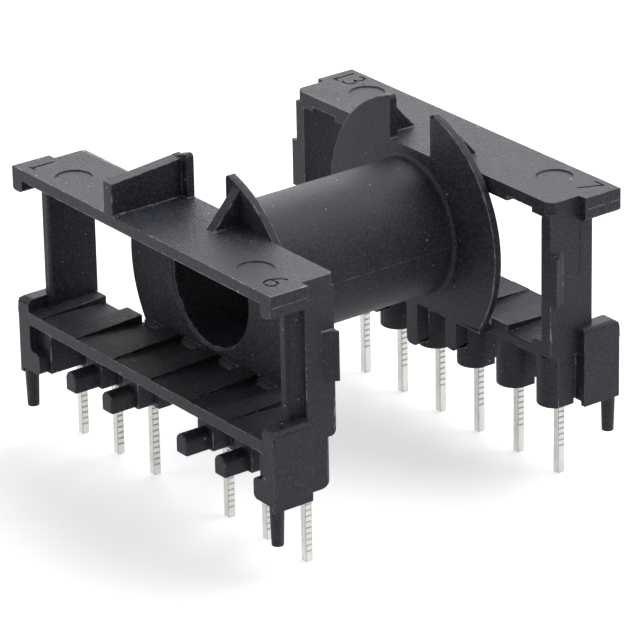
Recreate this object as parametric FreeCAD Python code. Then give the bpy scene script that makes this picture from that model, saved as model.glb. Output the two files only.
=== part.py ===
import FreeCAD, Part
import math
import os

# Horizontal coil former for a ferrite core with a round centre leg.
# One black glass-filled moulding carries thirteen square tinned pins.
# X runs along the pin rows, Y along the winding tube, Z up from the pin tips.
# All sizes are in millimetres.

# Pin grid
PIN_PITCH = 5.08
ROW_SPACING = 25.4
PLACES_PER_ROW = 7
PIN_SIDE = 0.64
PIN_BELOW_SEAT = 6.15
PIN_TIP_CHAMFER = 0.14
PIN_SEAT_DEPTH = 3.6

# Winding tube and flanges
AXIS_HEIGHT = 17.4
BORE_RADIUS = 5.0
TUBE_WALL = 0.73
BORE_CHAMFER = 0.22
ROW_STANDOFF = 2.95
FLANGE_RADIUS = 10.8
FLANGE_THICKNESS = 0.7
ROOT_FLARE = 0.4
ROOT_FLARE_BEND = 0.12
EAR_SLOT_HALF_WIDTH = 2.6
EAR_CORNER_RADIUS = 0.35
FRAME_SETBACK = 0.2
WEB_RIM_GAP = 0.35

# Top plate of each end frame
PLATE_TOP = 24.12
PLATE_THICKNESS = 0.97
PLATE_DEPTH = 6.55
PLATE_END_MARGIN = 1.31
REAR_PLATE_CORNER_RADIUS = 0.8
FRONT_PLATE_CORNER_RADIUS = 0.45
PLATE_EDGE_LIP = 0.4
PLATE_LIP_DEPTH = 1.3
TAB_REACH = 0.8
TAB_LENGTH = 3.6
TAB_DROP = 2.0
TAB_THICKNESS = 1.35
TAB_CORNER_RADIUS = 0.4
EJECTOR_RADIUS = 1.52
EJECTOR_DEPTH = 0.09
EJECTOR_END_INSET = 4.4
EJECTOR_INSET = 2.45

# Pillars between the top plate and the pin rail
PILLAR_THICKNESS = 1.1
PILLAR_DEPTH = 4.5
PILLAR_NOSE_RADIUS = 0.35
PILLAR_FOOT_RADIUS = 0.5
GROOVE_RADIUS = 0.87
GROOVE_OFFSET = 0.17
GROOVE_INSET = 3.6
REAR_GROOVE_LENGTH = 5.2
LUG_REACH = 0.8
LUG_FOOT = 1.25
LUG_HEIGHT = 4.1
LUG_DROP = 4.6
LUG_EDGE_RADIUS = 0.12

# Pin rail
RAIL_UNDERSIDE = 10.65
RAIL_LIP = 1.1
RIDGE_HALF_WIDTH = 1.05
RIDGE_RISE = 0.3
CHANNEL_FALL = 0.33
CHANNEL_LIP_STEP = 0.07
FOOT_LEDGE_HALF_WIDTH = 1.12
FOOT_LEDGE_WIDTH = 0.35
FOOT_LEDGE_RISE = 0.42

# Pin bosses, ribs behind them and winding posts
BOSS_STANDOFF = 0.2
BOSS_RADIUS = 1.5
BOSS_OFFSET = 0.42
BOSS_FLAT = 0.45
FRONT_END_BOSS_RADIUS = 0.4
BOSS_BLOCK_RISE = 0.25
BOSS_OUTER_DEPTH = 2.15
END_BOSS_OUTER_DEPTH = 3.6
RIB_WIDTH = 1.4
CENTRE_RIB_GAP = 0.68
SIDE_RIB_GAP = 1.93
RIB_EDGE_RADIUS = 0.45
POST_WIDTH = 1.32
POST_HEIGHT = 1.75
POST_STANDOFF = 0.57
POST_EDGE = 0.08

# Corner feet and locating pegs
FOOT_THICKNESS = 1.5
FOOT_DEPTH = 3.65
FOOT_RISE = 1.1
FOOT_TOP_RADIUS = 0.42
FOOT_END_RADIUS = 0.6
FOOT_TOE_REACH = 1.25
FOOT_TOE_HEIGHT = 2.25
FOOT_TOE_RADIUS = 0.45
FOOT_HOLLOW_RADIUS = 0.45
FOOT_STRIP_WIDTH = 0.4
FOOT_STRIP_HEIGHT = 0.4
PEG_ROOT_RADIUS = 0.58
PEG_TIP_RADIUS = 0.49
PEG_LENGTH = 3.0
PEG_EDGE = 0.06

# Wall and gussets that brace the flange ears on the top plates
FENCE_X = -3.88
FENCE_THICKNESS = 1.16
FENCE_FRONT_HEIGHT = 2.65
FENCE_BACK_HEIGHT = 3.2
GUSSET_X = 4.0
GUSSET_THICKNESS = 0.9
GUSSET_FOOT = 2.45
GUSSET_HEIGHT = 2.95

# Places that follow from the sizes above
PLACES = [(i - (PLACES_PER_ROW - 1) / 2) * PIN_PITCH for i in range(PLACES_PER_ROW)]
KEYED_PLACE = PLACES_PER_ROW // 2
PLATE_HALF_LENGTH = PLACES[-1] + PLATE_END_MARGIN
EJECTOR_X = PLATE_HALF_LENGTH - EJECTOR_END_INSET
ROW_Y = ROW_SPACING / 2
SEAT_Z = PIN_BELOW_SEAT
TUBE_RADIUS = BORE_RADIUS + TUBE_WALL
FLANGE_INNER_Y = ROW_Y - ROW_STANDOFF
FLANGE_OUTER_Y = FLANGE_INNER_Y + FLANGE_THICKNESS
FRAME_INNER_Y = FLANGE_OUTER_Y + FRAME_SETBACK
FRAME_OUTER_Y = FRAME_INNER_Y + PLATE_DEPTH
PLATE_UNDERSIDE = PLATE_TOP - PLATE_THICKNESS
TAB_INNER_Y = FRAME_OUTER_Y - TAB_LENGTH
TAB_OUTER_X = PLATE_HALF_LENGTH + TAB_REACH
PILLAR_INNER_X = PLATE_HALF_LENGTH - PILLAR_THICKNESS
PILLAR_OUTER_Y = FRAME_INNER_Y + PILLAR_DEPTH
RAIL_TOP = RAIL_UNDERSIDE + RAIL_LIP
BOSS_UNDERSIDE = SEAT_Z + BOSS_STANDOFF
FOOT_INNER_X = TAB_OUTER_X - FOOT_THICKNESS
FOOT_TOP = RAIL_TOP + FOOT_RISE
PIN_TOP = BOSS_UNDERSIDE + PIN_SEAT_DEPTH

# Depth by which joined forms reach into each other, and the slack for picking edges
OVERLAP = 0.5
NEAR = 0.001


def vec(x, y, z):
    return FreeCAD.Vector(x, y, z)


def block(x_range, y_range, z_range):
    """Rectangular solid between two values on each axis."""
    size = [max(r) - min(r) for r in (x_range, y_range, z_range)]
    return Part.makeBox(*size, vec(min(x_range), min(y_range), min(z_range)))


def slab_along_x(outline, x_low, x_high):
    """Solid with an outline in Y and Z, from x_low to x_high."""
    wire = Part.makePolygon([vec(x_low, y, z) for y, z in outline + outline[:1]])
    return Part.Face(wire).extrude(vec(x_high - x_low, 0, 0))


def slab_up(outline, z_low, z_high):
    """Solid with an outline in X and Y, from z_low to z_high."""
    wire = Part.makePolygon([vec(x, y, z_low) for x, y in outline + outline[:1]])
    return Part.Face(wire).extrude(vec(0, 0, z_high - z_low))


def rounded(solid, radius, wanted):
    """Fillet the straight edges whose middle point passes the test."""
    edges = [e for e in solid.Edges if wanted(e.CenterOfMass, e.BoundBox)]
    return solid.makeFillet(radius, edges)


def across_x(solid):
    return solid.mirror(vec(0, 0, 0), vec(1, 0, 0))


def across_y(solid):
    return solid.mirror(vec(0, 0, 0), vec(0, 1, 0))


def both_ends(solid):
    """The solid and its image at the other end of the rail."""
    return [solid, across_x(solid)]


def is_upright(bounds):
    return bounds.XLength < NEAR and bounds.YLength < NEAR


def is_along_y(bounds):
    return bounds.XLength < NEAR and bounds.ZLength < NEAR


def is_along_x(bounds):
    return bounds.YLength < NEAR and bounds.ZLength < NEAR


# Winding tube with a flange at each end.
# The tube, its flared roots and both discs are one turned profile.

def tube_and_flanges():
    half = FLANGE_OUTER_Y
    end_profile = [
        (BORE_RADIUS, half - BORE_CHAMFER),
        (BORE_RADIUS + BORE_CHAMFER, half),
        (FLANGE_RADIUS, half),
        (FLANGE_RADIUS, FLANGE_INNER_Y),
        (TUBE_RADIUS + ROOT_FLARE, FLANGE_INNER_Y),
        (TUBE_RADIUS + ROOT_FLARE_BEND, FLANGE_INNER_Y - ROOT_FLARE_BEND),
        (TUBE_RADIUS, FLANGE_INNER_Y - ROOT_FLARE),
    ]
    profile = end_profile + [(r, -y) for r, y in reversed(end_profile)]
    points = [vec(r, y, AXIS_HEIGHT) for r, y in profile + profile[:1]]
    spool = Part.Face(Part.makePolygon(points)).revolve(vec(0, 0, AXIS_HEIGHT), vec(0, 1, 0), 360)
    below = block((-FLANGE_RADIUS, FLANGE_RADIUS), (-half, half),
                  (AXIS_HEIGHT - FLANGE_RADIUS - OVERLAP, RAIL_UNDERSIDE))
    slot_top = AXIS_HEIGHT + FLANGE_RADIUS + OVERLAP
    slot = block((-EAR_SLOT_HALF_WIDTH, EAR_SLOT_HALF_WIDTH), (-half, half), (PLATE_TOP, slot_top))
    shaped = spool.cut(below).cut(slot)
    ear_top = AXIS_HEIGHT + math.sqrt(FLANGE_RADIUS ** 2 - EAR_SLOT_HALF_WIDTH ** 2)

    def at_ear_tip(centre, bounds):
        return is_along_y(bounds) and abs(centre.z - ear_top) < NEAR

    return rounded(shaped, EAR_CORNER_RADIUS, at_ear_tip)


# Short webs that carry the plate and the rail, set back a little, on the flange.

def web(z_low, z_high):
    disc = Part.makeCylinder(FLANGE_RADIUS - WEB_RIM_GAP, FRAME_INNER_Y - FLANGE_INNER_Y,
                             vec(0, FLANGE_INNER_Y, AXIS_HEIGHT), vec(0, 1, 0))
    return disc.common(block((-FLANGE_RADIUS, FLANGE_RADIUS), (FLANGE_INNER_Y, FRAME_INNER_Y),
                             (z_low, z_high)))


# Top plate with a hooked tab at each end, ejector marks and an inner lip.

def top_plate(corner_radius):
    outline = [
        (-PLATE_HALF_LENGTH, FRAME_INNER_Y),
        (PLATE_HALF_LENGTH, FRAME_INNER_Y),
        (PLATE_HALF_LENGTH, TAB_INNER_Y),
        (TAB_OUTER_X, TAB_INNER_Y),
        (TAB_OUTER_X, FRAME_OUTER_Y),
        (-TAB_OUTER_X, FRAME_OUTER_Y),
        (-TAB_OUTER_X, TAB_INNER_Y),
        (-PLATE_HALF_LENGTH, TAB_INNER_Y),
    ]
    plate = slab_up(outline, PLATE_UNDERSIDE, PLATE_TOP)

    def inner_corner(centre, bounds):
        return is_upright(bounds) and abs(centre.y - FRAME_INNER_Y) < NEAR

    plate = rounded(plate, corner_radius, inner_corner)
    pieces = [plate, web(PLATE_UNDERSIDE, PLATE_TOP)]
    hook = block((TAB_OUTER_X - TAB_THICKNESS, TAB_OUTER_X), (TAB_INNER_Y, FRAME_OUTER_Y),
                 (PLATE_UNDERSIDE - TAB_DROP + PLATE_THICKNESS, PLATE_TOP))

    def lower_edge(centre, bounds):
        return is_along_y(bounds) and centre.z < PLATE_UNDERSIDE

    pieces += both_ends(rounded(hook, TAB_CORNER_RADIUS, lower_edge))
    lip_z = (PLATE_UNDERSIDE - PLATE_EDGE_LIP, PLATE_TOP)
    lip_y = (FRAME_INNER_Y, FRAME_INNER_Y + PLATE_LIP_DEPTH)
    notch_low = PLACES[-2] + RIDGE_HALF_WIDTH
    notch_high = PLACES[-1] - RIDGE_HALF_WIDTH
    pieces.append(block((-notch_low, notch_low), lip_y, lip_z))
    pieces += both_ends(block((notch_high, PILLAR_INNER_X + OVERLAP), lip_y, lip_z))
    body = pieces[0].fuse(pieces[1:])
    mark = Part.makeCylinder(EJECTOR_RADIUS, PLATE_THICKNESS,
                             vec(EJECTOR_X, FRAME_OUTER_Y - EJECTOR_INSET, PLATE_TOP - EJECTOR_DEPTH))
    return body.cut(both_ends(mark))


# Pillar with a rounded nose, an outer groove and a wedge-shaped clip lug.

def pillar(groove_floor):
    wall = block((PILLAR_INNER_X, PLATE_HALF_LENGTH), (FRAME_INNER_Y, PILLAR_OUTER_Y),
                 (RAIL_UNDERSIDE, PLATE_UNDERSIDE))

    def foot_edge(centre, bounds):
        return is_along_x(bounds) and abs(centre.y - FRAME_INNER_Y) + abs(centre.z - RAIL_UNDERSIDE) < NEAR

    wall = rounded(wall, PILLAR_FOOT_RADIUS, foot_edge)

    def nose(centre, bounds):
        return is_upright(bounds) and abs(centre.y - PILLAR_OUTER_Y) < NEAR

    wall = rounded(wall, PILLAR_NOSE_RADIUS, nose)
    groove_top = PLATE_UNDERSIDE - TAB_DROP + PLATE_THICKNESS
    groove_at = vec(PLATE_HALF_LENGTH + GROOVE_OFFSET, FRAME_INNER_Y + GROOVE_INSET, groove_floor)
    groove = Part.makeCylinder(GROOVE_RADIUS, groove_top - groove_floor, groove_at)
    if groove_floor > FOOT_TOP:
        groove = groove.fuse(Part.makeSphere(GROOVE_RADIUS, groove_at))
    wall = wall.cut(groove)
    lug_top = PLATE_TOP - LUG_DROP
    lug = slab_up([
        (PLATE_HALF_LENGTH - OVERLAP, FRAME_INNER_Y),
        (PLATE_HALF_LENGTH + LUG_REACH, FRAME_INNER_Y),
        (PLATE_HALF_LENGTH, FRAME_INNER_Y + LUG_FOOT),
        (PLATE_HALF_LENGTH - OVERLAP, FRAME_INNER_Y + LUG_FOOT),
    ], lug_top - LUG_HEIGHT, lug_top)

    def crest(centre, bounds):
        return is_upright(bounds) and centre.x > PLATE_HALF_LENGTH + LUG_REACH / 2

    return wall.fuse(rounded(lug, LUG_EDGE_RADIUS, crest))


# Pin rail with one ridge over each pin place and a sloping wire channel between.

def rail():
    ridge_top = RAIL_TOP + RIDGE_RISE
    body = slab_along_x([
        (FRAME_INNER_Y, RAIL_UNDERSIDE),
        (FRAME_OUTER_Y, RAIL_UNDERSIDE),
        (FRAME_OUTER_Y, RAIL_TOP),
        (FRAME_INNER_Y, ridge_top),
    ], -FOOT_INNER_X, FOOT_INNER_X)
    pillar_corner = block((PILLAR_INNER_X, FOOT_INNER_X),
                          (FRAME_INNER_Y, FRAME_INNER_Y + PILLAR_FOOT_RADIUS),
                          (RAIL_UNDERSIDE, ridge_top))
    body = body.cut(both_ends(pillar_corner))
    floor_z = RAIL_TOP - CHANNEL_FALL
    channel = [
        (FRAME_INNER_Y, floor_z),
        (FRAME_OUTER_Y, RAIL_TOP - CHANNEL_LIP_STEP),
        (FRAME_OUTER_Y, ridge_top + OVERLAP),
        (FRAME_INNER_Y, ridge_top + OVERLAP),
    ]
    additions = [web(RAIL_UNDERSIDE, floor_z)]
    for left, right in zip(PLACES, PLACES[1:]):
        middle = (left + right) / 2
        body = body.cut(slab_along_x(channel, left + RIDGE_HALF_WIDTH, right - RIDGE_HALF_WIDTH))
        if abs(middle) < FLANGE_RADIUS:
            additions.append(block(
                (middle - FOOT_LEDGE_HALF_WIDTH, middle + FOOT_LEDGE_HALF_WIDTH),
                (FLANGE_INNER_Y, FLANGE_OUTER_Y + FOOT_LEDGE_WIDTH),
                (RAIL_UNDERSIDE, floor_z + FOOT_LEDGE_RISE)))
    return body.fuse(additions)


# Boss of one pin: a narrow outer block behind a wider round-nosed inner part.
# The bosses of the end pins are cut flush with the outer faces of the pillars,
# and the front ones are rounded below.

def boss(x, outer_depth, edge_radius):
    side = PLATE_HALF_LENGTH
    heights = (BOSS_UNDERSIDE, RAIL_UNDERSIDE)
    outer = block((x - RIDGE_HALF_WIDTH, x + RIDGE_HALF_WIDTH), (ROW_Y, ROW_Y + outer_depth),
                  (BOSS_UNDERSIDE + BOSS_BLOCK_RISE, RAIL_UNDERSIDE))
    nose_y = ROW_Y - BOSS_OFFSET
    nose = Part.makeCylinder(BOSS_RADIUS, RAIL_UNDERSIDE - BOSS_UNDERSIDE, vec(x, nose_y, BOSS_UNDERSIDE))
    flank = block((x - BOSS_RADIUS, x + BOSS_RADIUS), (nose_y, ROW_Y + BOSS_FLAT), heights)
    beyond = block((x - BOSS_RADIUS, x + BOSS_RADIUS), (ROW_Y + BOSS_FLAT, ROW_Y + BOSS_RADIUS), heights)
    inner = nose.fuse(flank).cut(beyond).removeSplitter()

    def under_nose(centre, bounds):
        return bounds.ZMax < BOSS_UNDERSIDE + NEAR and centre.y < nose_y - NEAR

    if edge_radius > 0:
        inner = rounded(inner, edge_radius, under_nose)
    allowed = block((-side, side), (FLANGE_INNER_Y, FRAME_OUTER_Y), heights)
    return outer.fuse(inner.common(allowed)).removeSplitter()


# Rib that carries a boss back to the flange.

def rib(x, gap):
    low = SEAT_Z + gap
    piece = block((x - RIB_WIDTH / 2, x + RIB_WIDTH / 2), (FLANGE_INNER_Y, ROW_Y),
                  (low, RAIL_UNDERSIDE))

    def lower_edge(centre, bounds):
        return is_along_y(bounds) and abs(centre.z - low) < NEAR

    return rounded(piece, RIB_EDGE_RADIUS, lower_edge)


# Winding post that points outwards from a boss, flat below and round above.

def post(x):
    low = SEAT_Z + POST_STANDOFF
    spring = low + POST_HEIGHT - POST_WIDTH / 2
    start = ROW_Y + BOSS_OUTER_DEPTH - OVERLAP
    half = POST_WIDTH / 2
    left, right = x - half, x + half
    edges = [
        Part.makeLine(vec(left, start, spring), vec(left, start, low)),
        Part.makeLine(vec(left, start, low), vec(right, start, low)),
        Part.makeLine(vec(right, start, low), vec(right, start, spring)),
        Part.Arc(vec(right, start, spring), vec(x, start, spring + half),
                 vec(left, start, spring)).toShape(),
    ]
    piece = Part.Face(Part.Wire(edges)).extrude(vec(0, FRAME_OUTER_Y - start, 0))
    rim = [e for e in piece.Edges if abs(e.BoundBox.YMin - FRAME_OUTER_Y) < NEAR]
    return piece.makeChamfer(POST_EDGE, rim)


# Corner foot with a toe under the rail, a seat strip along its outer side and a tapered peg.

def foot():
    body = block((FOOT_INNER_X, TAB_OUTER_X), (FRAME_OUTER_Y - FOOT_DEPTH, FRAME_OUTER_Y),
                 (SEAT_Z, FOOT_TOP))

    def top_edge(centre, bounds):
        return is_along_y(bounds) and centre.x > TAB_OUTER_X - NEAR and centre.z > RAIL_TOP

    def top_end_edge(centre, bounds):
        return is_along_x(bounds) and abs(centre.y - FRAME_OUTER_Y) < NEAR and centre.z > RAIL_TOP

    body = rounded(body, FOOT_TOP_RADIUS, top_edge).common(rounded(body, FOOT_END_RADIUS, top_end_edge))
    underside = SEAT_Z + FOOT_STRIP_HEIGHT
    recess = block((FOOT_INNER_X - OVERLAP, TAB_OUTER_X - FOOT_STRIP_WIDTH),
                   (FRAME_OUTER_Y - FOOT_DEPTH - OVERLAP, FRAME_OUTER_Y + OVERLAP),
                   (SEAT_Z - OVERLAP, underside))
    body = body.cut(recess)
    toe_y = (ROW_Y + END_BOSS_OUTER_DEPTH - OVERLAP, FRAME_OUTER_Y)
    toe_end = FOOT_INNER_X - FOOT_TOE_REACH
    toe_top = SEAT_Z + FOOT_TOE_HEIGHT
    toe = block((toe_end, FOOT_INNER_X + OVERLAP), toe_y, (underside, toe_top))

    def toe_corner(centre, bounds):
        return is_along_y(bounds) and abs(centre.x - toe_end) < NEAR

    toe = rounded(toe, FOOT_TOE_RADIUS, toe_corner)
    hollow_x = FOOT_INNER_X - FOOT_HOLLOW_RADIUS
    hollow_z = toe_top + FOOT_HOLLOW_RADIUS
    hollow = Part.makeCylinder(FOOT_HOLLOW_RADIUS, max(toe_y) - min(toe_y),
                               vec(hollow_x, min(toe_y), hollow_z), vec(0, 1, 0))
    web_in_corner = block((hollow_x, FOOT_INNER_X + OVERLAP), toe_y, (toe_top - OVERLAP, hollow_z))
    peg_x = TAB_OUTER_X - PEG_ROOT_RADIUS - PEG_EDGE
    peg_y = FRAME_OUTER_Y - PEG_ROOT_RADIUS - PEG_EDGE
    peg = Part.makeCone(PEG_TIP_RADIUS, PEG_ROOT_RADIUS, PEG_LENGTH, vec(peg_x, peg_y, SEAT_Z - PEG_LENGTH))
    root = Part.makeCylinder(PEG_ROOT_RADIUS, FOOT_STRIP_HEIGHT + OVERLAP, vec(peg_x, peg_y, SEAT_Z))
    return body.fuse([toe, web_in_corner.cut(hollow), peg, root])


# Braces between a top plate and the flange ears that stand on it.

def fence():
    return slab_along_x([
        (FLANGE_INNER_Y, PLATE_TOP - EJECTOR_DEPTH),
        (FRAME_OUTER_Y, PLATE_TOP - EJECTOR_DEPTH),
        (FRAME_OUTER_Y, PLATE_TOP + FENCE_FRONT_HEIGHT),
        (FRAME_INNER_Y, PLATE_TOP + FENCE_BACK_HEIGHT),
        (FLANGE_INNER_Y, PLATE_TOP + FENCE_BACK_HEIGHT),
    ], FENCE_X - FENCE_THICKNESS / 2, FENCE_X + FENCE_THICKNESS / 2)


def gusset(x):
    return slab_along_x([
        (FLANGE_INNER_Y, PLATE_TOP - EJECTOR_DEPTH),
        (FRAME_INNER_Y + GUSSET_FOOT, PLATE_TOP - EJECTOR_DEPTH),
        (FRAME_INNER_Y + GUSSET_FOOT, PLATE_TOP),
        (FLANGE_OUTER_Y, PLATE_TOP + GUSSET_HEIGHT),
        (FLANGE_INNER_Y, PLATE_TOP + GUSSET_HEIGHT),
    ], x - GUSSET_THICKNESS / 2, x + GUSSET_THICKNESS / 2)


# One end frame, built on the +Y side.

def end_frame(places, groove_floor, corner_radius, end_boss_radius, braces):
    pieces = [top_plate(corner_radius)]
    pieces += both_ends(pillar(groove_floor))
    pieces.append(rail())
    for x in places:
        at_end = abs(x) > PLACES[-2] + PIN_PITCH / 2
        if at_end:
            pieces.append(boss(x, END_BOSS_OUTER_DEPTH, end_boss_radius))
        else:
            pieces += [boss(x, BOSS_OUTER_DEPTH, 0.0), post(x)]
        if abs(x) < PIN_PITCH * 1.5:
            pieces.append(rib(x, CENTRE_RIB_GAP if abs(x) < PIN_PITCH / 2 else SIDE_RIB_GAP))
    pieces += both_ends(foot())
    return pieces[0].fuse(pieces[1:] + braces)


# The moulding is both end frames on the flanged tube, with a blind square hole for each pin.

def coil_former(spots):
    front_places = [x for i, x in enumerate(PLACES) if i != KEYED_PLACE]
    rear_floor = PLATE_UNDERSIDE - REAR_GROOVE_LENGTH
    front = across_y(end_frame(front_places, FOOT_TOP, FRONT_PLATE_CORNER_RADIUS,
                               FRONT_END_BOSS_RADIUS, [fence(), gusset(GUSSET_X)]))
    rear = end_frame(PLACES, rear_floor, REAR_PLATE_CORNER_RADIUS, 0.0,
                     [gusset(-GUSSET_X), gusset(GUSSET_X)])
    body = tube_and_flanges().fuse([front, rear])
    body = body.cut([pin_hole(x, y) for x, y in spots])
    return body.removeSplitter()


def pin_hole(x, y):
    half = PIN_SIDE / 2
    return block((x - half, x + half), (y - half, y + half), (BOSS_UNDERSIDE - OVERLAP, PIN_TOP))


# Square pin with a chamfered tip.

def pin(x, y):
    half = PIN_SIDE / 2
    body = block((x - half, x + half), (y - half, y + half), (0, PIN_TOP))
    tip = [e for e in body.Edges if e.BoundBox.ZMax < NEAR]
    return body.makeChamfer(PIN_TIP_CHAMFER, tip)


def pin_spots():
    """Pin positions in the order of their numbers, 1 to 13."""
    front = [(x, -ROW_Y) for i, x in enumerate(PLACES) if i != KEYED_PLACE]
    rear = [(x, ROW_Y) for x in reversed(PLACES)]
    return front + rear


def main():
    os.makedirs("parts", exist_ok=True)
    spots = pin_spots()
    former = coil_former(spots)
    solids = {"coil_former": former.Solids[0] if len(former.Solids) == 1 else former}
    for number, (x, y) in enumerate(spots, start=1):
        solids["pin_%02d" % number] = pin(x, y)
    for name, solid in solids.items():
        bounds = solid.BoundBox
        print(name, "valid", solid.isValid(), "solids", len(solid.Solids),
              "volume %.2f" % solid.Volume,
              "x %.2f %.2f y %.2f %.2f z %.2f %.2f" % (bounds.XMin, bounds.XMax, bounds.YMin,
                                                      bounds.YMax, bounds.ZMin, bounds.ZMax))
        solid.exportStep(os.path.join("parts", name + ".step"))


main()
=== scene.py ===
# %% [markdown]
# # A coil former with thirteen pins
# A coil former is the plastic spool inside a small transformer. Copper wire is wound
# on its round tube, the wire ends are soldered to the pins, and a ferrite core is
# pushed through the bore and round the outside. This notebook dresses the exact
# solids of one such part: it makes the rear pillars plain, engraves the pin numbers,
# rounds the moulded edges, lays the hairs of flash along them, notches the pins and
# gives each piece the finish of its real material.

# %% Load the solids
import bpy
import math
from mathutils import Matrix, Vector


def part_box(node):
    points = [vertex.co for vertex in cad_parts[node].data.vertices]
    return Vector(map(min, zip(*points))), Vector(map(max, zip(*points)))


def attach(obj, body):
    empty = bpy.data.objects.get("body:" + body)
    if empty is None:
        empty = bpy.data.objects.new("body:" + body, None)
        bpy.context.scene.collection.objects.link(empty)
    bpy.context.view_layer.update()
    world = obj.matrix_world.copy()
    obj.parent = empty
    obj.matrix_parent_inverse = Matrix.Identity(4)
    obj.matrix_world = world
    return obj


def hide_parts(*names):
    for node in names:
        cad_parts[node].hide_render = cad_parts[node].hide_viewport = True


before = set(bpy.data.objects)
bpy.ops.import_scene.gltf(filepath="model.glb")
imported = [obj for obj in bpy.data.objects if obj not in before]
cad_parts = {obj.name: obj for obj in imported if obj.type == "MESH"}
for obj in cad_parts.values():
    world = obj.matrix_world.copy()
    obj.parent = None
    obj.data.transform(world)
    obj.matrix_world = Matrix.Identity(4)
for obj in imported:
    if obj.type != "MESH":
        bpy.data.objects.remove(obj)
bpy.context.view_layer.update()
MM = 0.001


# %% [markdown]
# ## Colours and nodes
# A colour is written as the sRGB hex value that a colour picker shows. The render
# works in linear light, so one function turns a hex value to linear. A material is a
# graph of nodes, and so is the world. The graphs could be clicked together by hand,
# but here one more function adds a node with its settings and its links, which keeps
# each graph readable from top to bottom.

# %% Colour and node helpers
def linear(hex_colour):
    """The linear colour, with alpha, of an sRGB hex value."""
    channels = [int(hex_colour[i:i + 2], 16) / 255 for i in (1, 3, 5)]
    return [c / 12.92 if c <= 0.04045 else ((c + 0.055) / 1.055) ** 2.4 for c in channels] + [1.0]


def per_mm(size_mm):
    """The scale at which a pattern's features are about this size."""
    return 1000.0 / size_mm


def new_material(name):
    material = bpy.data.materials.new(name)
    material.use_nodes = True
    material.node_tree.nodes.clear()
    return material


def add_node(owner, kind, settings=None, **inputs):
    """Adds a node to a material or a world. An input is called by its name, or by its
    number after a low line, and is a value or the output socket of another node."""
    node = owner.node_tree.nodes.new(kind)
    for name, value in (settings or {}).items():
        setattr(node, name, value)
    for name, value in inputs.items():
        key = int(name[1:]) if name[0] == "_" and name[1:].isdigit() else name.replace("_", " ")
        if isinstance(value, bpy.types.NodeSocket):
            owner.node_tree.links.new(value, node.inputs[key])
        else:
            node.inputs[key].default_value = value
    return node


print("mid grey in linear light:", [round(c, 3) for c in linear("#808080")])


# %% [markdown]
# ## The camera
# The photograph was taken from above the front right corner with a long lens, which
# is why parallel edges stay almost parallel. A camera could be turned by eye until the
# picture looks right. Here its place, its turn and its lens were worked out from the
# known spacing of the pins.

# %% Camera
AZIMUTH, ELEVATION, ROLL = (math.radians(a) for a in (53.240, 23.557, -1.098))
CAMERA_PLACE = (0.277603, -0.207005, 0.162659)
LENS_MM = 264.12

camera_data = bpy.data.cameras.new("camera")
camera_data.sensor_width = 36.0
camera_data.lens = LENS_MM
camera_data.clip_start = 0.01
camera = bpy.data.objects.new("camera", camera_data)
bpy.context.scene.collection.objects.link(camera)
bpy.context.scene.camera = camera

back = Vector((math.sin(AZIMUTH) * math.cos(ELEVATION),
               -math.cos(AZIMUTH) * math.cos(ELEVATION),
               math.sin(ELEVATION)))
level_right = Vector((0, 0, 1)).cross(back).normalized()
level_up = back.cross(level_right)
right = math.cos(ROLL) * level_right + math.sin(ROLL) * level_up
up = math.cos(ROLL) * level_up - math.sin(ROLL) * level_right
camera.matrix_world = Matrix.Translation(CAMERA_PLACE) @ Matrix(
    (right, up, back)).transposed().to_4x4()
print("camera stands", round(camera.location.length / MM), "mm away")


# %% [markdown]
# ## The table
# Small parts are photographed on a white sheet. It could be bent up behind the part as
# a backdrop, but one wide plane is enough, because the camera looks down on it
# everywhere. Rays from the camera, and those that a surface mirrors or lets through,
# meet a sheet that also glows a little, so that it shows as plain white. Light that
# falls on the object meets the bare paper, and the soft shadow stays on the sheet.

# %% White sheet
def rays_that_see_white(owner):
    """The socket that is 1 for camera, glossy and transmission rays, and 0 for others."""
    rays = add_node(owner, "ShaderNodeLightPath")
    seen = add_node(owner, "ShaderNodeMath", {"operation": "MAXIMUM"},
                    _0=rays.outputs["Is Camera Ray"], _1=rays.outputs["Is Glossy Ray"])
    seen = add_node(owner, "ShaderNodeMath", {"operation": "MAXIMUM"},
                    _0=seen.outputs[0], _1=rays.outputs["Is Transmission Ray"])
    return seen.outputs[0]


scene = bpy.context.scene
scene.view_settings.view_transform = "Standard"
bpy.ops.object.select_all(action="DESELECT")
bpy.ops.mesh.primitive_plane_add(size=6.0, location=(0, 0, 0))
sheet = bpy.context.object
sheet.name = "white_sheet"

paper = new_material("white_paper_sheet")
bare_paper = add_node(paper, "ShaderNodeBsdfDiffuse", Color=linear("#f6f6f6"))
glow = add_node(paper, "ShaderNodeEmission", Color=linear("#ffffff"), Strength=0.55)
glowing_paper = add_node(paper, "ShaderNodeAddShader", _0=bare_paper.outputs[0],
                         _1=glow.outputs[0])
paper_mix = add_node(paper, "ShaderNodeMixShader", _0=rays_that_see_white(paper),
                     _1=bare_paper.outputs[0], _2=glowing_paper.outputs[0])
add_node(paper, "ShaderNodeOutputMaterial", Surface=paper_mix.outputs[0])
sheet.data.materials.append(paper)
print("sheet:", [round(side, 1) for side in sheet.dimensions[:2]], "m")


# %% [markdown]
# ## The light
# A black part shows its form by what it mirrors. The main light is a large soft box
# overhead, a little behind the object, so that level faces shine where the camera
# grazes them and upright faces stay dark. A second box stands higher up behind it and
# a third low behind at the left. One in front at the left lifts the faces that look to
# the front, and a very weak one at the right keeps the other side from going black.
# The boxes of the window side are slightly blue. The world adds an even fill.

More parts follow.
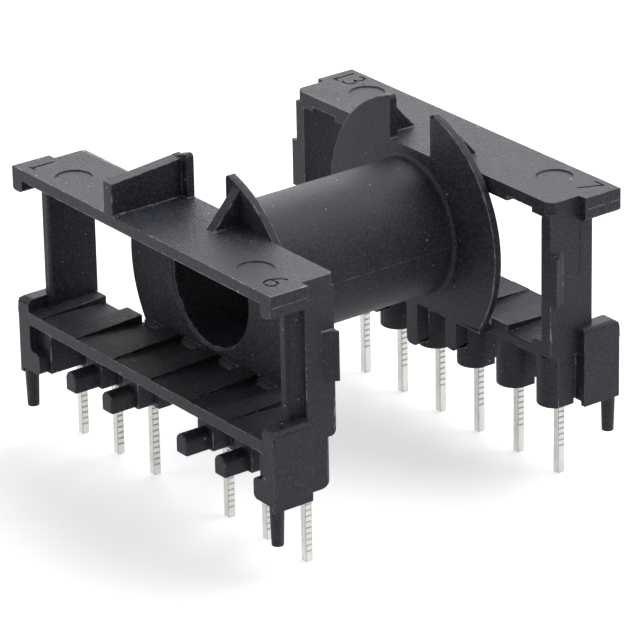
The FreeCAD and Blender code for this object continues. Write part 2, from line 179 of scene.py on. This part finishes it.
# %% Soft boxes and world
PLAIN, COOLER, COOL = (1.0, 1.0, 1.0), (0.94, 0.965, 1.0), (0.86, 0.93, 1.0)
SOFT_BOXES = (
    # name, place in m, width in m, watts, colour
    ("soft_box_overhead", (0.20, 0.42, 0.70), 0.7, 3.9, COOLER),
    ("soft_box_high", (-0.15, 0.50, 0.75), 0.5, 1.5, COOL),
    ("soft_box_behind", (-0.66, 0.49, 0.36), 0.6, 2.5, PLAIN),
    ("soft_box_left", (-0.45, -0.60, 0.40), 0.5, 1.2, PLAIN),
    ("soft_box_right", (0.60, 0.50, 0.50), 0.5, 0.1, COOL),
)

for name, place, width, watts, colour in SOFT_BOXES:
    bpy.ops.object.light_add(type="AREA", location=place)
    box = bpy.context.object
    box.name = name
    box.data.shape = "DISK"
    box.data.size = width
    box.data.energy = watts
    box.data.color = colour
    box.rotation_euler = Vector(place).to_track_quat("Z", "Y").to_euler()

world = bpy.data.worlds.new("studio")
scene.world = world
world.use_nodes = True
world.node_tree.nodes.clear()
fill = add_node(world, "ShaderNodeBackground", Color=linear("#ffffff"), Strength=0.2)
white = add_node(world, "ShaderNodeBackground", Color=linear("#ffffff"), Strength=1.0)
world_mix = add_node(world, "ShaderNodeMixShader", _0=rays_that_see_white(world),
                     _1=fill.outputs[0], _2=white.outputs[0])
add_node(world, "ShaderNodeOutputWorld", Surface=world_mix.outputs[0])


# %% [markdown]
# ## Glass-filled moulding compound
# The former is compression-moulded from a black thermoset filled with short glass
# fibres. The steel mould was spark-eroded, so the faces carry a sandy grain of 0.1 to
# 0.2 mm. Fibre ends and dust show as pale specks. The compound is a plain dielectric:
# dark body colour, no metal, an IOR near 1.5, and a wide soft gloss that only shows
# where the eye grazes a face. A photograph could be wrapped round the part, but it
# would blur close up and show its seams, so the grain is computed from the place in
# space, at its size in millimetres. It is drawn a little coarser than it is, so that
# it shows in the render.

# %% The compound as a function
CLOUD_MM = 3.0
GRAIN_MM = 0.24
TORN_DASH_MM = 1.1
# Fibre ends lie close together and are faint, dust is rare and pale: the size of a cell
# in mm, the greatest size of the one speck in it as a share of the cell, and its colour.
SPECKS = ((0.5, 0.14, "#565760"), (0.95, 0.1, "#b0b0b6"))


def moulding_material(name, dark_hex, pale_hex, roughness, relief_mm, sand_share, flash_share):
    material = new_material(name)
    here = add_node(material, "ShaderNodeTexCoord").outputs["Object"]
    cloud = add_node(material, "ShaderNodeTexNoise", Vector=here, Scale=per_mm(CLOUD_MM),
                     Detail=4.0)
    patch = add_node(material, "ShaderNodeMapRange", Value=cloud.outputs["Fac"],
                     From_Min=0.38, From_Max=0.62, To_Min=0.0, To_Max=1.0)
    tone = add_node(material, "ShaderNodeMix", {"data_type": "RGBA"}, _0=patch.outputs[0],
                    _6=linear(dark_hex), _7=linear(pale_hex))

    # Sandy grain: the tone of the body varies from one grain to the next. The grain is real;
    # the blue tint of its pale grains is a painted reflection of the cool soft boxes.
    grain = add_node(material, "ShaderNodeTexNoise", Vector=here, Scale=per_mm(GRAIN_MM),
                     Detail=4.0, Roughness=0.65)
    sand = add_node(material, "ShaderNodeMapRange", Value=grain.outputs["Fac"],
                    From_Min=0.45, From_Max=0.75, To_Min=0.0, To_Max=sand_share)
    tone = add_node(material, "ShaderNodeMix", {"data_type": "RGBA"}, _0=sand.outputs[0],
                    _6=tone.outputs[2], _7=linear("#5a5c69"))

    for cell_mm, speck_size, speck_hex in SPECKS:
        dust = add_node(material, "ShaderNodeTexVoronoi", Vector=here, Scale=per_mm(cell_mm))
        cell = add_node(material, "ShaderNodeSeparateColor", Color=dust.outputs["Color"])
        size = add_node(material, "ShaderNodeMapRange", Value=cell.outputs[0],
                        From_Min=0.45, From_Max=1.0, To_Min=0.0, To_Max=speck_size)
        speck = add_node(material, "ShaderNodeMath", {"operation": "LESS_THAN"},
                         _0=dust.outputs["Distance"], _1=size.outputs[0])
        tone = add_node(material, "ShaderNodeMix", {"data_type": "RGBA"}, _0=speck.outputs[0],
                        _6=tone.outputs[2], _7=linear(speck_hex))

    # Pale dashes where a hair of material was torn off.
    torn = add_node(material, "ShaderNodeTexNoise", Vector=here, Scale=per_mm(TORN_DASH_MM),
                    Detail=3.0, Roughness=0.65)
    flash = add_node(material, "ShaderNodeMapRange", Value=torn.outputs["Fac"],
                     From_Min=0.52, From_Max=0.6, To_Min=0.0, To_Max=flash_share)
    tone = add_node(material, "ShaderNodeMix", {"data_type": "RGBA"}, _0=flash.outputs[0],
                    _6=tone.outputs[2], _7=linear("#8c8c92"))

    gloss = add_node(material, "ShaderNodeMapRange", Value=grain.outputs["Fac"],
                     From_Min=0.3, From_Max=0.7, To_Min=roughness - 0.1, To_Max=roughness + 0.1)
    relief = add_node(material, "ShaderNodeBump", Height=grain.outputs["Fac"],
                      Distance=relief_mm * MM)
    surface = add_node(material, "ShaderNodeBsdfPrincipled", Base_Color=tone.outputs[2],
                       Roughness=gloss.outputs[0], IOR=1.5, Specular_IOR_Level=0.3,
                       Normal=relief.outputs[0])
    add_node(material, "ShaderNodeOutputMaterial", Surface=surface.outputs[0])
    return material


print("grain in mm:", GRAIN_MM, "cells of the specks in mm:", [cell for cell, _, _ in SPECKS])

# %% [markdown]
# One function makes three finishes of the compound, because they differ only in their
# numbers: the faces; the edges, which come out of the mould smoother and keep dashes of
# torn flash, and whose colour is paler as a painted highlight where the rounds catch the
# light; and the tops of the rails, where the mould was cut by hand and left rough and dull.

# %% Three finishes of the moulding
# The blue in these body colours is partly a painted reflection of the cool soft boxes.
sandy_moulding = moulding_material("black_glass_filled_thermoset_moulded", "#151519", "#1e1f26",
                                   0.5, 0.09, 0.55, 0.0)
# The edge finish is painted paler than the faces, a painted highlight along every round; its
# dashes of torn flash are real.
edge_painted_highlight = moulding_material("black_thermoset_edge_painted_highlight", "#303036", "#3e3e46",
                                 0.42, 0.02, 0.3, 0.8)
rough_moulding = moulding_material("black_thermoset_rough_rail_top", "#09090b", "#232429",
                                   0.62, 0.18, 0.55, 0.0)
print("finishes:", [m.name for m in (sandy_moulding, edge_painted_highlight, rough_moulding)])

# %% [markdown]
# ## Torn flash
# Where two blocks of the mould meet, a hair of compound creeps into the joint and is
# torn off when the part comes out. The torn edge is pale, dull and broken up, since
# the fibres in it are bare. Noise of about a millimetre breaks it up, between nearly
# the colour of the moulding and a light grey.

# %% Torn flash material
flash_hair = new_material("pale_torn_flash")
hair_place = add_node(flash_hair, "ShaderNodeTexCoord").outputs["Object"]
tufts = add_node(flash_hair, "ShaderNodeTexNoise", Vector=hair_place, Scale=per_mm(0.9),
                 Detail=4.0, Roughness=0.7)
tuft_share = add_node(flash_hair, "ShaderNodeMapRange", Value=tufts.outputs["Fac"],
                      From_Min=0.38, From_Max=0.62)
hair_tone = add_node(flash_hair, "ShaderNodeMix", {"data_type": "RGBA"}, _0=tuft_share.outputs[0],
                     _6=linear("#26272b"), _7=linear("#909096"))
hair_surface = add_node(flash_hair, "ShaderNodeBsdfPrincipled", Base_Color=hair_tone.outputs[2],
                        Roughness=0.6, IOR=1.5)
add_node(flash_hair, "ShaderNodeOutputMaterial", Surface=hair_surface.outputs[0])

FINISHES = (sandy_moulding, edge_painted_highlight, rough_moulding, flash_hair)
FACE, EDGE, RAIL_TOP, TORN = range(4)
print("finishes on the moulding:", len(FINISHES))


# %% [markdown]
# ## A copy of the solid
# The solid is exact, but it comes as loose triangles, and it is left as it is. All the
# work goes into a copy, whose doubles are merged into one skin. The triangles of each
# flat face are joined too, so that an edge of the mesh is an edge of the moulding.

# %% Copy the solid
def only(piece):
    """Makes a piece the one that the operators act on."""
    bpy.ops.object.select_all(action="DESELECT")
    piece.select_set(True)
    bpy.context.view_layer.objects.active = piece


MERGE_REACH = 0.002 * MM
FLAT_ANGLE = math.radians(1.0)


def join_flat_faces(piece):
    only(piece)
    bpy.ops.object.mode_set(mode="EDIT")
    bpy.ops.mesh.select_all(action="SELECT")
    bpy.ops.mesh.remove_doubles(threshold=MERGE_REACH)
    bpy.ops.mesh.dissolve_limited(angle_limit=FLAT_ANGLE)
    bpy.ops.object.mode_set(mode="OBJECT")
    print("joined faces:", len(piece.data.polygons))


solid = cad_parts["coil_former"]
former = bpy.data.objects.new("moulded_coil_former", solid.data.copy())
scene.collection.objects.link(former)
join_flat_faces(former)


# %% [markdown]
# ## The rear pillars
# On the solid each rear pillar has the clip groove of the front ones. The photograph
# shows a plain side there, with only the hair line where a block of the mould ended.
# Faces could be pulled about by hand, but a Boolean is exact: the groove is cut out as
# a square notch, and a block with one rounded edge fills it. A square rod is drawn
# along the hair line, by spinning and extruding its end, and is then cut out too.

# %% Boolean and block helpers
def combine(body, tool, operation):
    """Applies a Boolean of a tool to a body and removes the tool."""
    before = len(body.data.vertices)
    only(body)
    step = body.modifiers.new("step", "BOOLEAN")
    step.object = tool
    step.operation = operation
    step.solver = "MANIFOLD"
    bpy.ops.object.modifier_apply(modifier="step")
    bpy.data.objects.remove(tool)
    if len(body.data.vertices) < 0.9 * before:
        raise RuntimeError("the Boolean lost a part of the body")


def box_between(low, high):
    """A block between two corners in metres, as the active object, in its final place."""
    low, high = Vector(low), Vector(high)
    bpy.ops.object.select_all(action="DESELECT")
    bpy.ops.mesh.primitive_cube_add(size=1.0, location=(low + high) / 2)
    bpy.context.object.scale = high - low
    bpy.ops.object.transform_apply(location=True, rotation=True, scale=True)
    return bpy.context.object


def pick_parts(piece, kind, parts, wanted):
    """Selects the corners, edges or faces that pass a test, and leaves edit mode on."""
    bpy.ops.object.mode_set(mode="EDIT")
    bpy.ops.mesh.select_mode(type=kind)
    bpy.ops.mesh.select_all(action="DESELECT")
    bpy.ops.object.mode_set(mode="OBJECT")
    for part in parts:
        part.select = wanted(part)
    bpy.ops.object.mode_set(mode="EDIT")


# %% Fill the grooves and cut the hair lines
PILLAR_SIDE = 16.55 * MM
PILLAR_BACK = 15.15 * MM
PILLAR_ROUND = 0.35 * MM
FOOT_TOP = 12.85 * MM
TAB_FOOT = 22.12 * MM
FILL_FRONT = 13.3 * MM
FILL_DEPTH = 0.75 * MM
OVERLAP = 0.2 * MM
HAIR_WIDTH = 0.09 * MM
HAIR_Y = 13.7 * MM
HAIR_TOP = 22.1 * MM
HAIR_LOW = 17.5 * MM
HAIR_BEND = 0.4 * MM
HAIR_RUN = 1.1 * MM

for side in (1, -1):
    x_low, x_high = sorted((side * (PILLAR_SIDE - FILL_DEPTH), side * (PILLAR_SIDE + OVERLAP)))
    notch = box_between((x_low, FILL_FRONT, FOOT_TOP), (x_high, PILLAR_BACK + OVERLAP, TAB_FOOT))
    combine(former, notch, "DIFFERENCE")

    x_low, x_high = sorted((side * (PILLAR_SIDE - FILL_DEPTH), side * PILLAR_SIDE))
    filler = box_between((x_low, FILL_FRONT, FOOT_TOP - OVERLAP), (x_high, PILLAR_BACK, TAB_FOOT))
    corners = filler.data.vertices
    pick_parts(filler, "EDGE", filler.data.edges, lambda edge: all(
        abs(corners[i].co.x - side * PILLAR_SIDE) < 0.001 * MM
        and abs(corners[i].co.y - PILLAR_BACK) < 0.001 * MM for i in edge.vertices))
    bpy.ops.mesh.bevel(offset=PILLAR_ROUND, segments=6, affect="EDGES")
    bpy.ops.object.mode_set(mode="OBJECT")
    combine(former, filler, "UNION")

    half = HAIR_WIDTH / 2
    rod = box_between((side * PILLAR_SIDE - half, HAIR_Y - half, HAIR_LOW + HAIR_BEND),
                      (side * PILLAR_SIDE + half, HAIR_Y + half, HAIR_TOP))
    pick_parts(rod, "FACE", rod.data.polygons, lambda face: face.normal.z < -0.99)
    bpy.ops.mesh.spin(steps=6, angle=math.pi / 2, axis=(1, 0, 0),
                      center=(side * PILLAR_SIDE, HAIR_Y - HAIR_BEND, HAIR_LOW + HAIR_BEND))
    bpy.ops.mesh.extrude_region_move(TRANSFORM_OT_translate={"value": (0, -HAIR_RUN, 0)})
    bpy.ops.object.mode_set(mode="OBJECT")
    print("rod:", [[round(c / MM, 2) for c in rod.bound_box[i]] for i in (0, 6)])
    combine(former, rod, "DIFFERENCE")
print("corners with plain rear pillars:", len(former.data.vertices))


# %% [markdown]
# ## Pin numbers
# The mould engraves a plain number beside each corner pin, about 2 mm tall and one
# tenth of a millimetre deep. A bump in the material would look flat from the side, so
# they are real cuts. A text object is thinned with a negative offset, given depth and
# turned to a mesh. The figure 1 also gets its foot, a stretched cube. Then a Boolean
# cuts them out of the plate. This comes before the edges are rounded, because a
# Boolean needs a closed skin.

# %% Engrave the numbers
PLATE_TOP = 24.12 * MM
NUMBER_HEIGHT = 2.1 * MM
ENGRAVING_DEPTH = 0.1 * MM
STROKE = 0.15 * MM
THINNING = -0.0165
HALF_FOOT_OF_1 = 2.6 * STROKE
FIGURES = (
    # figure, centre x and y in mm, widening
    ("1", -15.85, -15.2, 1.0), ("6", 15.15, -15.05, 1.15),
    ("7", 15.6, 15.55, 1.0), ("1", -16.35, 15.65, 1.0), ("3", -15.0, 15.65, 1.1),
)
engraved = []


def engrave_figure(body, figure, centre_x, centre_y, widening):
    bpy.ops.object.select_all(action="DESELECT")
    bpy.ops.object.text_add(location=(0, 0, 0))
    text = bpy.context.object
    text.data.body = figure
    text.data.size = 1.0
    text.data.align_x = "CENTER"
    text.data.align_y = "CENTER"
    text.data.offset = THINNING
    text.data.extrude = 1.0
    text.data.resolution_u = 4
    bpy.ops.object.convert(target="MESH")
    low, high = (Vector(f(c[i] for c in text.bound_box) for i in range(3)) for f in (min, max))
    factor = NUMBER_HEIGHT / (high.y - low.y)
    text.scale = (widening * factor, factor, ENGRAVING_DEPTH)
    text.location = (centre_x * MM - widening * factor * (low.x + high.x) / 2,
                     centre_y * MM - factor * (low.y + high.y) / 2, PLATE_TOP)
    bpy.ops.object.transform_apply(location=True, rotation=True, scale=True)
    bpy.ops.object.mode_set(mode="EDIT")
    bpy.ops.mesh.select_all(action="SELECT")
    bpy.ops.mesh.remove_doubles(threshold=0.001 * MM)
    bpy.ops.mesh.normals_make_consistent(inside=False)
    bpy.ops.object.mode_set(mode="OBJECT")
    engraved.append([[f(c[i] for c in text.bound_box) for i in range(3)] for f in (min, max)])
    combine(body, text, "DIFFERENCE")
    if figure == "1":
        middle = Vector((centre_x * MM + STROKE / 2, centre_y * MM - NUMBER_HEIGHT / 2, PLATE_TOP))
        reach = Vector((HALF_FOOT_OF_1, STROKE / 2, ENGRAVING_DEPTH))
        engraved.append([list(middle - reach), list(middle + reach)])
        combine(body, box_between(middle - reach, middle + reach), "DIFFERENCE")


for figure, x, y, widening in FIGURES:
    engrave_figure(former, figure, x, y, widening)
print("corners with the numbers:", len(former.data.vertices))


# %% [markdown]
# ## Rounded edges
# The solid's edges are mathematically sharp, but a mould always leaves them slightly
# round, and that thin round is what catches the light. A bevel over all edges would
# run over small steps. So each sharp edge gets a weight of its own: a full round of
# 0.12 mm where there is room, and less beside a near corner. The Booleans left new
# triangles, and these are joined first.

# %% Join the flat faces again
RAIL_TOP_LOW, RAIL_TOP_HIGH = 10.7 * MM, 12.5 * MM
RAIL_TOP_INNER_Y = 9.0 * MM

join_flat_faces(former)
former.data.materials.clear()
for finish in FINISHES:
    former.data.materials.append(finish)
for face in former.data.polygons:
    on_top = (face.normal.z > 0.9 and RAIL_TOP_LOW < face.center.z < RAIL_TOP_HIGH
              and abs(face.center.y) > RAIL_TOP_INNER_Y)
    face.material_index = RAIL_TOP if on_top else FACE
print("rail top faces:", sum(f.material_index == RAIL_TOP for f in former.data.polygons))

# %% Weigh the edges
EDGE_ROUND = 0.12 * MM
SHARP_ANGLE = math.radians(30)
SHARE_OF_ROOM = 0.45
NEAR = 0.01 * MM
AXIS_HEIGHT = 17.4 * MM
FLANGE_RADIUS = 10.8 * MM
BORE_RADIUS = 5.0 * MM


def in_a_figure(place):
    return any(all(low[i] - NEAR / 2 < place[i] < high[i] + NEAR / 2 for i in range(3))
               for low, high in engraved)


def off_rim(place):
    """How far a place is from the rim of a flange or of the bore, seen along the tube."""
    from_axis = math.hypot(place.x, place.z - AXIS_HEIGHT)
    return min(abs(from_axis - FLANGE_RADIUS), abs(from_axis - BORE_RADIUS))


def round_weight(mesh, edge, faces):
    """1 for a sharp edge with room for a full round, less beside a near corner, else 0."""
    if len(faces) != 2 or faces[0].normal.angle(faces[1].normal, 0.0) < SHARP_ANGLE:
        return 0.0
    start, end = (mesh.vertices[i].co for i in edge.vertices)
    if in_a_figure(start) and in_a_figure(end):
        return 0.0
    if off_rim(start) < NEAR and off_rim(end) < NEAR:
        return 1.0
    along = (end - start).normalized()
    distances = [(mesh.vertices[i].co - start).cross(along).length
                 for face in faces for i in face.vertices]
    room = min((d for d in distances if d > NEAR), default=EDGE_ROUND)
    return min(1.0, SHARE_OF_ROOM * room / EDGE_ROUND)


sides = {}
for face in former.data.polygons:
    for key in face.edge_keys:
        sides.setdefault(key, []).append(face)
weights = former.data.attributes.new("bevel_weight_edge", "FLOAT", "EDGE")
for edge in former.data.edges:
    weights.data[edge.index].value = round_weight(former.data, edge, sides.get(edge.key, []))
print("edges with a full round:", sum(w.value == 1.0 for w in weights.data),
      "with a smaller one:", sum(0.0 < w.value < 1.0 for w in weights.data))

# %% [markdown]
# A joined face with holes in it would fold over itself as its edges are rounded, so
# the flat faces are cut into even triangles before the bevel. Where three edges meet
# at a shallow angle the bevel overshoots, and such a point goes back on the surface as
# it was before.

# %% Cut the flat faces into even triangles
bpy.ops.object.mode_set(mode="EDIT")
bpy.ops.mesh.select_all(action="SELECT")
bpy.ops.mesh.quads_convert_to_tris(ngon_method="BEAUTY")
bpy.ops.mesh.beautify_fill(angle_limit=math.radians(0.5))
bpy.ops.object.mode_set(mode="OBJECT")
print("triangles:", len(former.data.polygons))

# %% Round the edges
rounding = former.modifiers.new("rounding", "BEVEL")
rounding.width = EDGE_ROUND
rounding.segments = 3
rounding.limit_method = "WEIGHT"
rounding.use_clamp_overlap = False
# The new faces of the rounds get the edge finish, with its painted highlight.
rounding.material = EDGE
rounding.face_strength_mode = "FSTR_ALL"
unrounded = bpy.data.objects.new("unrounded", former.data.copy())
scene.collection.objects.link(unrounded)
bpy.context.view_layer.update()
bpy.ops.object.modifier_apply(modifier="rounding")

put_back = 0
for vertex in former.data.vertices:
    _, place, _, _ = unrounded.closest_point_on_mesh(vertex.co)
    if (place - vertex.co).length > 0.6 * EDGE_ROUND:
        vertex.co = place
        put_back += 1
bpy.data.objects.remove(unrounded)
bpy.ops.object.mode_set(mode="EDIT")
bpy.ops.mesh.select_all(action="SELECT")
bpy.ops.mesh.dissolve_limited(angle_limit=math.radians(0.5), delimit={"MATERIAL"})
bpy.ops.object.mode_set(mode="OBJECT")
print("moulding faces:", len(former.data.polygons), "points put back:", put_back)

# %% [markdown]
# No flash forms at the roots of the tube, where the mould closes on smooth steel, and
# their rounds get the finish of the faces, without the painted highlight of the edges.
# Along the rims of the flanges and of the bore and along the rails flash does form, and
# the middle strip of the round carries it.

# %% Finish the rounds
WINDING_SPACE_HALF = 9.7 * MM
ROOT_REACH = 0.8 * FLANGE_RADIUS
RAIL_SIDE = 17.2 * MM
RAIL_EDGE_LOW, RAIL_EDGE_HIGH = 11.5 * MM, 11.8 * MM

for face in former.data.polygons:
    if face.material_index != EDGE:
        continue
    from_axis = math.hypot(face.center.x, face.center.z - AXIS_HEIGHT)
    if abs(face.center.y) < WINDING_SPACE_HALF and from_axis < ROOT_REACH:
        face.material_index = FACE
    on_rail = (abs(face.center.y) > RAIL_SIDE - EDGE_ROUND
               and RAIL_EDGE_LOW < face.center.z < RAIL_EDGE_HIGH)
    if 0.45 < abs(face.normal.y) < 0.9 and (off_rim(face.center) < EDGE_ROUND or on_rail):
        face.material_index = TORN
print("faces with torn flash:", sum(f.material_index == TORN for f in former.data.polygons))


# %% [markdown]
# The rounds are shaded smooth and the flat faces flat. The bevel marked how much each
# face counts, and a weighted normal modifier uses that, which keeps the large faces
# free of the soft gradients that smooth shading alone would give them.

# %% Smooth and attach the moulding
only(former)
bpy.ops.object.shade_smooth_by_angle(angle=math.radians(35))
even = former.modifiers.new("even_faces", "WEIGHTED_NORMAL")
even.keep_sharp = True
even.weight = 100
even.use_face_influence = True
bpy.ops.object.modifier_apply(modifier="even_faces")
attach(former, "root")
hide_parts("coil_former")
print("moulding corners:", len(former.data.vertices))


# %% [markdown]
# ## Flash lines
# Flash also shows on flat and round walls, as a fine pale line where the halves of the
# mould met: along the tube, across the ends of the tabs, and along the outer sides of
# the plates and rails. It could be painted on, but it stands proud of the wall by a
# few hundredths of a millimetre. So each line is a thin bar, an eight-sided cylinder
# with an inset in each end face, sunk almost wholly into the wall.

# %% Flash lines
FINE_HAIR_MM = 0.05
HAIR_MM = 0.08


def flash_line(name, start_mm, end_mm, width_mm):
    """A thin bar between two points, with an inset in each end face."""
    start, end = Vector(start_mm) * MM, Vector(end_mm) * MM
    bpy.ops.object.select_all(action="DESELECT")
    bpy.ops.mesh.primitive_cylinder_add(vertices=8, radius=width_mm * MM / 2,
                                        depth=(end - start).length, location=(start + end) / 2,
                                        rotation=(end - start).to_track_quat("Z", "Y").to_euler())
    line = bpy.context.object
    line.name = name
    pick_parts(line, "FACE", line.data.polygons, lambda face: len(face.vertices) == 8)
    bpy.ops.mesh.inset(thickness=width_mm * MM * 0.3)
    bpy.ops.object.mode_set(mode="OBJECT")
    bpy.ops.object.transform_apply(location=True, rotation=True, scale=True)
    bpy.ops.object.shade_smooth_by_angle(angle=math.radians(50))
    line.data.materials.append(flash_hair)
    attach(line, "root")


ENDS = (("front", -1), ("rear", 1))
for side, sign in (("right", 1), ("left", -1)):
    flash_line("flash_tube_" + side, (sign * 5.71, -9.3, 17.4), (sign * 5.71, 9.3, 17.4),
               FINE_HAIR_MM)
    for end, facing in ENDS:
        flash_line("flash_tab_%s_%s" % (end, side), (sign * 17.33, facing * 13.8, 23.15),
                   (sign * 17.33, facing * 17.1, 23.15), HAIR_MM)
for end, facing in ENDS:
    flash_line("flash_plate_" + end, (-15.1, facing * 17.16, 23.19), (15.1, facing * 17.16, 23.19),
               HAIR_MM)
    flash_line("flash_rail_" + end, (-15.6, facing * 17.16, 11.66), (15.6, facing * 17.16, 11.66),
               HAIR_MM)


# %% [markdown]
# ## Tinned wire
# The pins are square copper-clad steel wire with a dull tin coat. Tin is a pale,
# slightly warm grey metal. The coat is a few thousandths of a millimetre thick and
# sets with a faint mottle, drawn out along the wire, so the gloss varies a little from
# place to place. A plain metal would look like a mirror of the sheet, so noise varies
# its colour, its gloss and, very slightly, its height.

# %% Tin material
tinned = new_material("tinned_square_wire_drawn")
tin_place = add_node(tinned, "ShaderNodeTexCoord").outputs["Object"]
drawn = add_node(tinned, "ShaderNodeMapping", Vector=tin_place, Scale=(1.0, 1.0, 0.22))
mottle = add_node(tinned, "ShaderNodeTexNoise", Vector=drawn.outputs[0], Scale=per_mm(0.22),
                  Detail=3.0)
tin_tone = add_node(tinned, "ShaderNodeMix", {"data_type": "RGBA"}, _0=mottle.outputs["Fac"],
                    _6=linear("#b6b6b0"), _7=linear("#ebebe6"))
tin_gloss = add_node(tinned, "ShaderNodeMapRange", Value=mottle.outputs["Fac"],
                     From_Min=0.3, From_Max=0.7, To_Min=0.34, To_Max=0.52)
tin_relief = add_node(tinned, "ShaderNodeBump", Height=mottle.outputs["Fac"], Strength=0.5,
                      Distance=0.01 * MM)
tin_surface = add_node(tinned, "ShaderNodeBsdfPrincipled", Base_Color=tin_tone.outputs[2],
                       Metallic=1.0, Roughness=tin_gloss.outputs[0], Normal=tin_relief.outputs[0])
add_node(tinned, "ShaderNodeOutputMaterial", Surface=tin_surface.outputs[0])
print("tin:", tinned.name)

# %% [markdown]
# The notches and the rounded corners of the wire get painted shade. That is the same
# metal, only darker and duller, so it is a second and simpler material.

# %% Darker tin as painted shade for the notches and corners
tin_painted_shade = new_material("tinned_wire_painted_shade_in_notches")
shade_place = add_node(tin_painted_shade, "ShaderNodeTexCoord").outputs["Object"]
shade_noise = add_node(tin_painted_shade, "ShaderNodeTexNoise", Vector=shade_place, Scale=per_mm(0.3), Detail=3.0)
shade_tone = add_node(tin_painted_shade, "ShaderNodeMix", {"data_type": "RGBA"}, _0=shade_noise.outputs["Fac"],
                      _6=linear("#8e8e88"), _7=linear("#c8c8c2"))
shade_surface = add_node(tin_painted_shade, "ShaderNodeBsdfPrincipled", Base_Color=shade_tone.outputs[2],
                         Metallic=1.0, Roughness=0.6)
add_node(tin_painted_shade, "ShaderNodeOutputMaterial", Surface=shade_surface.outputs[0])
print("stained tin:", tin_painted_shade.name)


# %% [markdown]
# ## Notched pins
# Two faces of each wire are rolled with a ladder of shallow notches, which grip the
# plastic and the solder. Cutting each notch with a Boolean would be slow. Instead the
# wire is a cube stretched to its size, its tip and its long edges are bevelled, planes
# bisect it at each notch, and the inner loops of the notch are drawn towards the
# middle. One pin of each row is modelled, and then it is copied.

# %% Model one pin of each row
PIN_SIDE = 0.64 * MM
PIN_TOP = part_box("pin_01")[1].z
TIP_CHAMFER = 0.06 * MM
CORNER_ROUND = 0.04 * MM
LAST_NOTCH = 6.3 * MM
NOTCH_PITCH = 0.5 * MM
NOTCH_HALF_HEIGHT = 0.08 * MM
NOTCH_DEPTH = 0.035 * MM
NOTCH_CUTS = (-1.0, -0.45, 0.45, 1.0)


def notched_pin(name, lowest_notch):
    bpy.ops.object.select_all(action="DESELECT")
    bpy.ops.mesh.primitive_cube_add(size=1.0, location=(0, 0, PIN_TOP / 2))
    wire = bpy.context.object
    wire.name = name
    wire.scale = (PIN_SIDE, PIN_SIDE, PIN_TOP)
    bpy.ops.object.transform_apply(location=True, rotation=True, scale=True)
    pick_parts(wire, "VERT", wire.data.vertices, lambda corner: corner.co.z < PIN_TOP / 2)
    bpy.ops.mesh.bevel(offset=TIP_CHAMFER, offset_type="OFFSET", segments=1, affect="EDGES")
    bpy.ops.object.mode_set(mode="OBJECT")
    rounding = wire.modifiers.new("rounding", "BEVEL")
    rounding.width = CORNER_ROUND
    rounding.segments = 2
    rounding.angle_limit = math.radians(60)
    # The rounded corners get the darker tin, painted shade along them.
    rounding.material = 1
    wire.data.materials.append(tinned)
    wire.data.materials.append(tin_painted_shade)
    bpy.ops.object.modifier_apply(modifier="rounding")
    height = lowest_notch
    while height < LAST_NOTCH:
        for cut in NOTCH_CUTS:
            bpy.ops.object.mode_set(mode="EDIT")
            bpy.ops.mesh.select_all(action="SELECT")
            bpy.ops.mesh.bisect(plane_co=(0, 0, height + cut * NOTCH_HALF_HEIGHT),
                                plane_no=(0, 0, 1), threshold=0.001 * MM)
        pick_parts(wire, "VERT", wire.data.vertices,
                   lambda corner: abs(corner.co.z - height) < 0.6 * NOTCH_HALF_HEIGHT)
        bpy.ops.transform.resize(value=(1 - 2 * NOTCH_DEPTH / PIN_SIDE, 1, 1),
                                 center_override=(0, 0, height))
        height += NOTCH_PITCH
    bpy.ops.object.mode_set(mode="OBJECT")
    # The faces in the notches get the darker tin, painted shade in the recesses.
    for face in wire.data.polygons:
        if abs(face.normal.x) > 0.5 and abs(face.center.x) < PIN_SIDE / 2 - 0.1 * NOTCH_DEPTH:
            face.material_index = 1
    bpy.ops.object.shade_smooth_by_angle(angle=math.radians(30))
    return wire


front_wire = notched_pin("front_wire", 0.95 * MM)
rear_wire = notched_pin("rear_wire", 2.45 * MM)
print("faces of one pin:", len(front_wire.data.polygons))

# %% Copy the pins to their places
FRONT_PINS = 6
for number in range(1, 14):
    node = "pin_%02d" % number
    low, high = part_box(node)
    model = front_wire if number <= FRONT_PINS else rear_wire
    wire = bpy.data.objects.new("tinned_" + node, model.data.copy())
    wire.data.transform(Matrix.Translation(((low.x + high.x) / 2, (low.y + high.y) / 2, 0)))
    scene.collection.objects.link(wire)
    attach(wire, "root")
    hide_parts(node)
for model in (front_wire, rear_wire):
    bpy.data.objects.remove(model)
